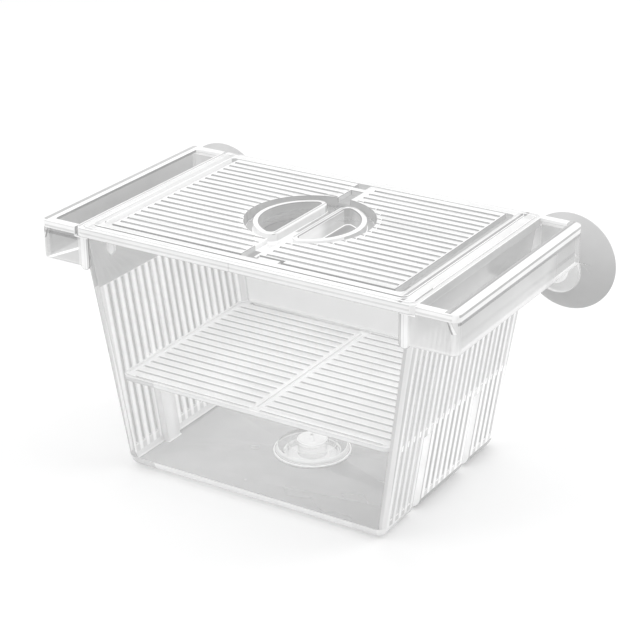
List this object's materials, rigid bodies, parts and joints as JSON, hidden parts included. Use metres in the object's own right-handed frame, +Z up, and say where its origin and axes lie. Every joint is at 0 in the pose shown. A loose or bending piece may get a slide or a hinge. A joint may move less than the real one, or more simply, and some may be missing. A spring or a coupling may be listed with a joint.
{
  "type": "fish breeding box",
  "caption": "Clear tapered tank with slotted ends, a slotted tray at half height, a slotted lid with a feeding hatch, and side frames with suction cups for hanging it on a wall.",
  "frame": {"origin": "centre of the base, on the surface the box stands on", "axes": "+X along the length, +Y towards the wall that the suction cups hold, +Z up"},
  "size_m": [0.2226, 0.1221, 0.1117],
  "materials": {
    "clear_plastic": "gloss",
    "soft_clear_plastic": "gloss"
  },
  "bodies": {
    "tank": {"tank_shell": "clear_plastic", "left_end_grille": "clear_plastic", "right_end_grille": "clear_plastic", "left_hanging_frame": "clear_plastic", "right_hanging_frame": "clear_plastic"},
    "lid": {"lid": "clear_plastic"},
    "hatch": {"feeding_hatch": "clear_plastic"},
    "tray": {"nursery_tray": "clear_plastic"},
    "left_cup": {"left_suction_cup": "soft_clear_plastic"},
    "right_cup": {"right_suction_cup": "soft_clear_plastic"},
    "plug": {"drain_plug": "clear_plastic"}
  },
  "joints": [
    {"name": "lid_lift", "type": "slide", "parent": "tank", "child": "lid", "axis": [0, 0, 1], "range_m": [0, 0.12]},
    {"name": "hatch_lift", "type": "slide", "parent": "lid", "child": "hatch", "axis": [0, 0, 1], "range_m": [0, 0.05]},
    {"name": "tray_lift", "type": "slide", "parent": "tank", "child": "tray", "axis": [0, 0, 1], "range_m": [0, 0.052]},
    {"name": "plug_lift", "type": "slide", "parent": "tank", "child": "plug", "axis": [0, 0, 1], "range_m": [0, 0.03]},
    {"name": "left_cup_turn", "type": "hinge", "parent": "tank", "child": "left_cup", "pos_m": [-0.08955, 0.05575, 0.0883], "axis": [0, 1, 0], "continuous": true},
    {"name": "right_cup_turn", "type": "hinge", "parent": "tank", "child": "right_cup", "pos_m": [0.08955, 0.05575, 0.0883], "axis": [0, 1, 0], "continuous": true}
  ]
}
